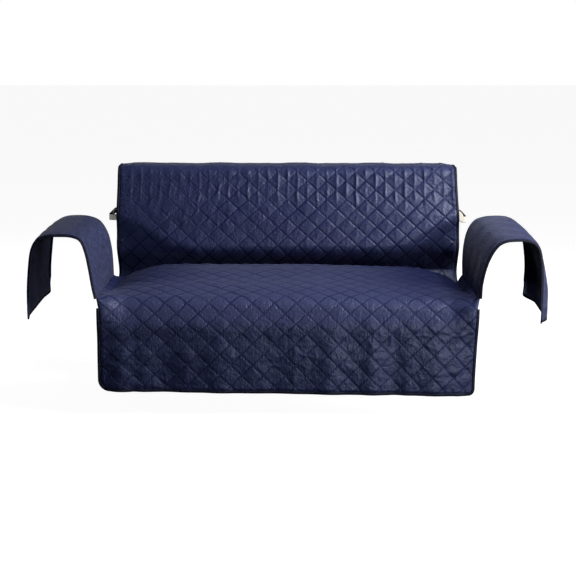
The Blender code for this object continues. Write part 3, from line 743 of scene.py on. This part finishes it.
# From the seam over the arm: x and z at its front, x and z at its rear, and how
# far the cloth swells between them.
LEFT_ARM = (
    (0.728, 0.460, 0.728, 0.460, 0.000),
    (0.738, 0.510, 0.730, 0.520, 0.002),
    (0.748, 0.575, 0.735, 0.575, 0.003),
    (0.761, 0.640, 0.749, 0.635, 0.003),
    (0.780, 0.685, 0.778, 0.682, 0.003),
    (0.815, 0.702, 0.818, 0.701, 0.003),
    (0.865, 0.705, 0.868, 0.706, 0.003),
    (0.914, 0.702, 0.920, 0.701, 0.003),
    (0.950, 0.684, 0.957, 0.680, 0.004),
    (0.971, 0.645, 0.978, 0.640, 0.006),
    (0.982, 0.575, 0.988, 0.570, 0.009),
    (0.989, 0.480, 0.996, 0.480, 0.010),
    (0.988, 0.388, 0.994, 0.392, 0.009),
)
RIGHT_ARM = (
    (0.728, 0.460, 0.728, 0.460, 0.000),
    (0.731, 0.515, 0.727, 0.520, 0.002),
    (0.744, 0.576, 0.731, 0.581, 0.003),
    (0.763, 0.625, 0.744, 0.640, 0.003),
    (0.789, 0.664, 0.770, 0.682, 0.002),
    (0.820, 0.682, 0.806, 0.698, 0.002),
    (0.860, 0.687, 0.850, 0.703, 0.003),
    (0.905, 0.685, 0.902, 0.700, 0.003),
    (0.938, 0.670, 0.943, 0.680, 0.004),
    (0.956, 0.638, 0.970, 0.645, 0.006),
    (0.965, 0.576, 0.986, 0.580, 0.014),
    (0.967, 0.470, 0.994, 0.480, 0.029),
    (0.964, 0.371, 0.984, 0.378, 0.032),
)


def through(knots, count):
    """Rows of values at even steps on a smooth curve through the knots."""
    padded = np.concatenate(([2 * knots[0] - knots[1]], knots, [2 * knots[-1] - knots[-2]]))
    t = np.arange(KNOT_STEPS)[:, None] / KNOT_STEPS
    dense = []
    for a, b, c, d in zip(padded, padded[1:], padded[2:], padded[3:]):
        bend = 2 * a - 5 * b + 4 * c - d
        twist = 3 * b - a - 3 * c + d
        dense.append(0.5 * (2 * b + (c - a) * t + bend * t ** 2 + twist * t ** 3))
    dense = np.concatenate([*dense, knots[-1:]])
    lengths = lengths_along(dense)
    wanted = np.linspace(0.0, lengths[-1], count + 1)
    return np.stack([np.interp(wanted, lengths, column) for column in dense.T], axis=1)


def arm_middle(table, side):
    """The arm panel's middle surface, and the length round it."""
    rows = through(np.array(table), ARM_GIRTH_CELLS)
    depth = np.linspace(0, 1, ARM_DEPTH_CELLS + 1)[None, :, None]
    front_x, front_z, rear_x, rear_z, swell = (rows[:, k, None, None] for k in range(5))
    out = front_x + (rear_x - front_x) * depth
    up = front_z + (rear_z - front_z) * depth
    back = np.broadcast_to(SEAM_FRONT + (SEAM_REAR - SEAM_FRONT) * depth, out.shape)
    straight = np.concatenate((side * out, back, up), axis=2) - DRAWN_FROM
    facing = directions(straight) * -side
    between = np.minimum(smooth(depth / SWELL_FRONT), smooth((1 - depth) / SWELL_REAR))
    middle = straight + facing * swell * between
    return middle, float(lengths_along(middle[:, ARM_DEPTH_CELLS // 2])[-1])


ARM_NAVY, ARM_NAVY_PALE_HIGHLIGHT = (0.0110, 0.0150, 0.0560, 1), (0.0400, 0.0490, 0.1280, 1)


def plain_cloth():
    made, shader, start = new_cloth("plain microfibre")
    places = start.add("ShaderNodeUVMap", {"uv_map": "pattern"})
    nap = places.noise(850.0)
    mottle = places.noise(85.0, 3.0, Roughness=0.7)
    patches = places.noise(36.0, Roughness=0.6)
    clouds = places.noise(14.0)
    # Paler in mottled patches over the raised spots: partly the cloth's own mottled tone, partly
    # painted highlights.
    mottle_and_highlight = mottle.ease(0.42, 0.60) * 0.45 + patches.ease(0.42, 0.60) * 0.45
    mottle_and_highlight = mottle_and_highlight + clouds.ease(0.3, 0.7) * 0.1
    colour = mottle_and_highlight.blend(ARM_NAVY, ARM_NAVY_PALE_HIGHLIGHT)
    height = nap * 0.00012 + mottle * 0.0026 + patches * 0.0020 + clouds * 0.0020
    finish_cloth(shader, start, colour, 0.42 + mottle * 0.20, height,
                 Specular_IOR_Level=0.5, **MICROFIBRE_SHEEN)
    return made


plain = plain_cloth()
Arm = namedtuple("Arm", "label side table")
ARMS = (Arm("left", -1, LEFT_ARM), Arm("right", 1, RIGHT_ARM))
arm_grids = {}
for arm in ARMS:
    middle, girth = arm_middle(arm.table, arm.side)
    normal = directions(middle) * -arm.side
    depth_share, girth_share = np.meshgrid(np.linspace(0, 1, ARM_DEPTH_CELLS + 1),
                                           np.linspace(0, 1, ARM_GIRTH_CELLS + 1))
    run = SEAM_REAR - SEAM_FRONT
    round_places = np.stack((depth_share * run, girth_share * girth), axis=-1)
    inset = np.minimum(np.minimum(depth_share, 1 - depth_share) * run, (1 - girth_share) * girth)
    waves = (ARM_WAVE * np.sin(depth_share * 23 + 3 * np.sin(girth_share * 9 + arm.side))
             * np.sin(girth_share * 21 + arm.side))
    gathers = (ARM_GATHER * np.sin(girth_share * girth * 330 + 2 * np.sin(girth_share * 31))
               * hump(np.minimum(depth_share, 1 - depth_share) * run - 0.012, 0.03))
    rise = (waves + gathers) * smooth(inset / ARM_EDGE_FLAT)
    outer = middle + normal * (ARM_THICKNESS / 2 + rise)[..., None]
    inner = middle - normal * (ARM_THICKNESS / 2)
    panel = cloth_piece(f"arm_cover_{arm.label}", outer, inner, round_places,
                        every(ARM_GIRTH_CELLS + 1, UNDER_GIRTH_STEP),
                        every(ARM_DEPTH_CELLS + 1, UNDER_DEPTH_STEP))
    panel.data.materials.append(plain)
    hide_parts(f"arm_panel_{arm.label}")
    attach(panel, "root")
    arm_grids[arm.label] = (middle, normal, girth)

# ----------------------------------------
# The binding: woven tape folded over every free edge and stitched through
# near its lips, in one length round the back, the skirt and each arm panel.

TAPE_OVERLAP = 0.0015
CURL = math.radians(58)
UNCURL_START, UNCURL_CELLS = 14, 10
STITCH_PITCH = 0.0034
TAPE_RING = (
    (-TAPE_OVERLAP, 0.00185), (-0.0011, 0.0026), (0.0012, 0.0029), (0.0045, 0.0028),
    (0.0078, 0.0021), (0.0095, 0.0011), (0.0100, 0.0000), (0.0095, -0.0011),
    (0.0078, -0.0021), (0.0045, -0.0028), (0.0012, -0.0029), (-0.0011, -0.0026),
    (-TAPE_OVERLAP, -0.00185), (GAP, -0.00185), (GAP, 0.00185),
)
TAPE_SEAMS = (0.0042, 0.0252)
TAPE_INSIDE_ROWS, TAPE_INSIDE_CELLS = 8, 4


def bar_piece(name, rings, along, around):
    """A closed bar through rings of points; its UVs are lengths in metres."""
    count, sides = rings.shape[:2]
    number = np.arange(count * sides).reshape(count, sides)
    beside = np.roll(number, -1, axis=1)
    faces = np.stack((number[:-1], beside[:-1], beside[1:], number[1:]), axis=-1)
    faces = faces.reshape(-1, 4).tolist()
    faces.append(number[0, ::-1].tolist())
    faces.append(number[-1].tolist())
    places = [(along[v // sides], around[v % sides]) for face in faces for v in face]
    return pattern_piece(name, rings.reshape(-1, 3), faces, places)


def square_to(path, facing):
    """The direction along a path, and the part of facing that is square to it."""
    along = unit(np.gradient(path, axis=0))
    return along, unit(facing - along * (facing * along).sum(1, keepdims=True))


def tape_piece(name, path, normal, beside, curl=0.0):
    """Tape round an edge: path and normal follow it, beside lies in the cloth.

    curl is the angle by which the tape turns down from the cloth's outer face.
    """
    along, normal = square_to(path, normal)
    outward = np.cross(normal, along)
    outward *= np.where((outward * (beside - path)).sum(1) > 0, -1.0, 1.0)[:, None]
    turn = np.broadcast_to(curl, len(path))[:, None]
    outward, normal = (outward * np.cos(turn) - normal * np.sin(turn),
                       normal * np.cos(turn) + outward * np.sin(turn))
    run = lengths_along(path)
    pull = 1 + 0.06 * np.sin(run * 240 + 2 * np.sin(run * 53)) * np.sin(run * 71)
    ring = np.array(TAPE_RING)
    out = ring[None, :, 0, None] * outward[:, None]
    up = ring[None, :, 1, None] * normal[:, None] * pull[:, None, None]
    around = lengths_along(ring)
    if (np.cross(outward[0], normal[0]) * along[0]).sum() > 0:
        return bar_piece(name, path[:, None] + out + up, run, around)
    return bar_piece(name, (path[:, None] + out + up)[:, ::-1], run, around[::-1])


def binding_tape():
    made, shader, start = new_cloth("binding tape")
    places, along, around = on_pattern(start)
    ribs = (along * 2600.0).sine() * 0.5 + 0.5
    weft = (around * 5200.0).sine() * 0.5 + 0.5
    lip = abs(around - TAPE_SEAMS[0]).least(abs(around - TAPE_SEAMS[1]))
    stitch = (lip < 0.0006) * (abs((along / STITCH_PITCH).fract() - 0.5) < 0.34)
    clouds = places.noise(60.0)
    colour = clouds.blend((0.0036, 0.0050, 0.0170, 1), (0.0062, 0.0082, 0.0270, 1))
    colour = (stitch * 0.6).blend(colour, NAVY)
    height = ribs * weft * 0.00012 + lip.ease(0.0, 0.0016) * 0.0005 + stitch * 0.0003
    finish_cloth(shader, start, colour, 0.55 + clouds * 0.15, height,
                 Specular_IOR_Level=0.25, Sheen_Weight=0.02)
    return made


tape = binding_tape()


def edge_of_panel(rows, hem_row):
    """Left edge, one end, right edge of the panel: path, normals, points inside."""
    last = column_grid.shape[1] - 1
    along_end = np.arange(1, last)
    row = np.concatenate((rows, np.full(len(along_end), hem_row), rows[::-1]))
    column = np.concatenate((np.zeros(len(rows), int), along_end, np.full(len(rows), last)))
    deeper = np.clip(row, TAPE_INSIDE_ROWS, len(row_lengths) - 1 - TAPE_INSIDE_ROWS)
    nearer = np.clip(column, EDGE_CELLS, last - EDGE_CELLS)
    return middle_grid[row, column], normal_grid[row, column], middle_grid[deeper, nearer]


up_rows = np.flatnonzero(row_lengths < SEAM_START - SEAM_TURN)[::-1]
over_rows = np.flatnonzero(row_lengths > SEAM_END + SEAM_TURN)
skirt_tape = tape_piece("skirt_tape", *edge_of_panel(up_rows, 0))
back_tape = tape_piece("back_tape", *edge_of_panel(over_rows, len(row_lengths) - 1))
tapes = [(skirt_tape, "binding_skirt"), (back_tape, "binding_back")]
arm_tapes = {}
for arm in ARMS:
    middle, normal, girth = arm_grids[arm.label]
    ends = np.arange(ARM_GIRTH_CELLS + 1)
    side_cells = np.arange(1, ARM_DEPTH_CELLS)
    row = np.concatenate((ends, np.full(len(side_cells), ARM_GIRTH_CELLS), ends[::-1]))
    column = np.concatenate((np.zeros(len(ends), int), side_cells,
                             np.full(len(ends), ARM_DEPTH_CELLS)))
    beside = middle[np.clip(row, 0, ARM_GIRTH_CELLS - TAPE_INSIDE_CELLS),
                    np.clip(column, TAPE_INSIDE_CELLS, ARM_DEPTH_CELLS - TAPE_INSIDE_CELLS)]
    curl = CURL * (1 - smooth((row - ARM_GIRTH_CELLS + UNCURL_START) / UNCURL_CELLS))
    arm_tapes[arm.label] = tape_piece(f"arm_tape_{arm.label}", middle[row, column],
                                      normal[row, column], beside, curl)
    tapes.append((arm_tapes[arm.label], f"binding_arm_{arm.label}"))
for piece, node in tapes:
    piece.data.materials.append(tape)
    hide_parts(node)
    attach(piece, "root")

# ----------------------------------------
# The strap: flat ribbed elastic, stitched under both side edges of the back
# and stretched round behind it.

STRAP_WIDTH, STRAP_THICKNESS = 0.025, 0.0016
STRAP_HALF, STRAP_REAR, STRAP_BEND = 0.757, 0.929, 0.022
STRAP_UNDER = (BINDING_THICKNESS + STRAP_THICKNESS) / 2 + 5 * GAP
STRAP_LAP, STRAP_CLEAR, STRAP_SET_BACK, STRAP_FALL = 0.013, 0.003, 0.004, 0.35
StrapEnd = namedtuple("StrapEnd", "side start_height end_height")
STRAP_ENDS = (StrapEnd(-1, 0.683, 0.683), StrapEnd(1, 0.706, 0.672))
STRAP_POINTS, STRAP_FACE = 420, 7


def strap_end(end):
    """Points of the strap from under one edge of the back to its rear corner."""
    face = (row_lengths > MARK["back foot"]) & (row_lengths < MARK["top front"] - 0.03)
    column, nearer = (0, EDGE_CELLS) if end.side < 0 else (-1, -1 - EDGE_CELLS)
    edge, inside = middle_grid[face, column], middle_grid[face, nearer]
    facing = normal_grid[face, column]
    points, flats = [], []
    for out, fall in ((-STRAP_LAP, 0.0), (BINDING_WIDTH + STRAP_CLEAR, STRAP_FALL)):
        height = end.start_height + (end.end_height - end.start_height) * fall - DRAWN_FROM[2]
        near, behind, normal = (
            np.array([np.interp(height, edge[:, 2], values) for values in grid.T])
            for grid in (edge, inside, facing))
        outward = unit(near - behind)
        points.append(near + outward * out - normal * STRAP_UNDER)
        flats.append((0.0, abs(normal[2]), abs(normal[1])))
    low = end.end_height - DRAWN_FROM[2]
    front = points[1][1] + STRAP_SET_BACK + STRAP_BEND
    rear = STRAP_REAR - STRAP_BEND - DRAWN_FROM[1]
    for centre, turns in ((front, np.linspace(0, 1, 9)), (rear, np.linspace(1, 2, 9))):
        for angle in turns * math.pi / 2:
            across = STRAP_HALF - STRAP_BEND * (1 - math.sin(angle))
            back = centre - STRAP_BEND * math.cos(angle)
            points.append(np.array((end.side * across, back, low)))
            flats.append((0.0, 0.0, 1.0))
    return np.concatenate((np.array(points), np.array(flats)), axis=1)


def elastic_strap():
    """Flat elastic: a thin bar with a rolled edge on either side."""
    left, right = (strap_end(end) for end in STRAP_ENDS)
    knots = np.concatenate((left, right[::-1]))
    stops = lengths_along(knots[:, :3])
    wanted = np.linspace(0, stops[-1], STRAP_POINTS + 1)
    rows = np.stack([np.interp(wanted, stops, column) for column in knots.T], axis=1)
    path, flat = rows[:, :3], rows[:, 3:]
    along, flat = square_to(path, flat)
    thick = np.cross(along, flat)
    share = np.linspace(-1, 1, STRAP_FACE)
    rolled = (0.80 + 0.45 * share ** 8) * STRAP_THICKNESS / 2
    run = lengths_along(path)
    slack = 1 + 0.02 * np.sin(run * 47 + 2 * np.sin(run * 13))
    face = np.stack((share, rolled), axis=1)
    ring = np.concatenate((face, (face * (1, -1))[::-1]))
    across = ring[None, :, 0, None] * flat[:, None] * (STRAP_WIDTH / 2 * slack)[:, None, None]
    up = ring[None, :, 1, None] * thick[:, None]
    return bar_piece("elastic_strap", path[:, None] + across + up, run,
                     ring[:, 0] * STRAP_WIDTH / 2)


def ribbed_elastic():
    made, shader, start = new_cloth("ribbed elastic")
    places, _, across = on_pattern(start)
    ribs = (across * 2500.0).sine() * 0.5 + 0.5
    weave = places.noise(900.0, 1.0)
    colour = (ribs * 0.6 + weave * 0.4).blend((0.58, 0.54, 0.48, 1), (0.82, 0.79, 0.73, 1))
    height = ribs * 0.00025 + weave * 0.0001
    finish_cloth(shader, start, colour, 0.70 + places.noise(30.0) * 0.15, height,
                 Sheen_Weight=0.2)
    return made


strap = elastic_strap()
strap.data.materials.append(ribbed_elastic())
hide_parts("strap")
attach(strap, "root")

# ----------------------------------------
# The studio: a pale floor, a window and a softbox at the right, smaller lamps
# above, low in front, at the left and behind, and a weak even fill.

FLOOR_LEVEL = -float(DRAWN_FROM[2])
FLOOR_REACH = 30.0


def studio_floor():
    made, shader, start = new_cloth("pale floor")
    clouds = start.add("ShaderNodeTexNoise", Scale=0.6, Detail=2.0)
    colour = clouds.blend((0.24, 0.24, 0.24, 1), (0.26, 0.26, 0.26, 1))
    start.tree.links.new(colour.socket, shader.inputs["Base Color"])
    set_sockets(shader, Roughness=0.9, Specular_IOR_Level=0.0,
                Emission_Color=(1.0, 1.0, 1.0, 1), Emission_Strength=0.93)
    mesh = bpy.data.meshes.new("floor")
    corners = [(x * FLOOR_REACH, y * FLOOR_REACH, FLOOR_LEVEL)
               for x, y in ((-1, -1), (1, -1), (1, 1), (-1, 1))]
    mesh.from_pydata(corners, [], [(0, 1, 2, 3)])
    floor = bpy.data.objects.new("floor", mesh)
    floor.data.materials.append(made)
    floor.visible_diffuse = False
    floor.visible_glossy = False
    scene.collection.objects.link(floor)


studio_floor()

# Three of the smaller lamps would glare in the cloth, so its gloss doesn't show them.
WARM, COOL = (1.0, 0.99, 0.98), (0.98, 0.99, 1.0)
Lamp = namedtuple("Lamp", "name place aim size strength colour in_gloss")
LAMPS = (
    Lamp("window", (2.90, -1.30, 0.75), (0.0, -0.4, -0.35), 1.1, 74, (1.0, 0.985, 0.97), True),
    Lamp("softbox", (2.50, -1.80, 2.20), (0.0, -0.4, -0.35), 1.4, 90, WARM, True),
    Lamp("top", (1.00, -0.35, 2.40), (0.0, -0.5, -0.40), 1.0, 46, WARM, False),
    Lamp("low", (1.10, -2.80, -0.60), (0.0, -0.5, -0.45), 0.5, 14, WARM, True),
    Lamp("left", (-3.00, -0.45, -0.55), (-0.9, -0.45, -0.35), 0.4, 16, COOL, False),
    Lamp("rear", (0.80, 3.40, 0.35), (0.0, 0.0, -0.35), 1.0, 60, COOL, False),
)
for lamp in LAMPS:
    light = bpy.data.lights.new(lamp.name, "AREA")
    light.energy = lamp.strength
    light.color = lamp.colour
    light.size = lamp.size
    holder = bpy.data.objects.new(lamp.name, light)
    holder.location = lamp.place
    x, y, z = (place - aim for place, aim in zip(lamp.place, lamp.aim))
    holder.rotation_euler = (math.atan2(math.hypot(x, y), z), 0, math.atan2(x, -y))
    holder.visible_glossy = lamp.in_gloss
    scene.collection.objects.link(holder)

fill = bpy.data.lights.new("fill", "SUN")
fill.energy = 0.15
fill.angle = math.radians(120)
fill.color = (0.97, 0.98, 1.0)
fill_holder = bpy.data.objects.new("fill", fill)
fill_holder.rotation_euler = (math.radians(32), 0, math.radians(10))
fill_holder.visible_glossy = False
scene.collection.objects.link(fill_holder)

world = bpy.data.worlds.new("studio")
scene.world = world
world.use_nodes = True
world.node_tree.nodes["Background"].inputs["Color"].default_value = (1.0, 1.0, 1.0, 1)
world.cycles_visibility.diffuse = False
world.cycles_visibility.glossy = False
scene.view_settings.view_transform = "Standard"

# The camera stands well back, a little above the top of the cover.
CAMERA_BACK, CAMERA_UP = 5.4, 1.484
CAMERA_DOWN = math.radians(10.3)
LENS_PIXELS, IMAGE_PIXELS, SENSOR = 1450, 576, 36.0
camera = bpy.data.objects.new("camera", bpy.data.cameras.new("camera"))
camera.data.sensor_width = SENSOR
camera.data.lens = SENSOR * LENS_PIXELS / IMAGE_PIXELS
camera.location = np.array((0.0, -CAMERA_BACK, CAMERA_UP)) - DRAWN_FROM
camera.rotation_euler = (math.pi / 2 - CAMERA_DOWN, 0, 0)
scene.collection.objects.link(camera)
scene.camera = camera
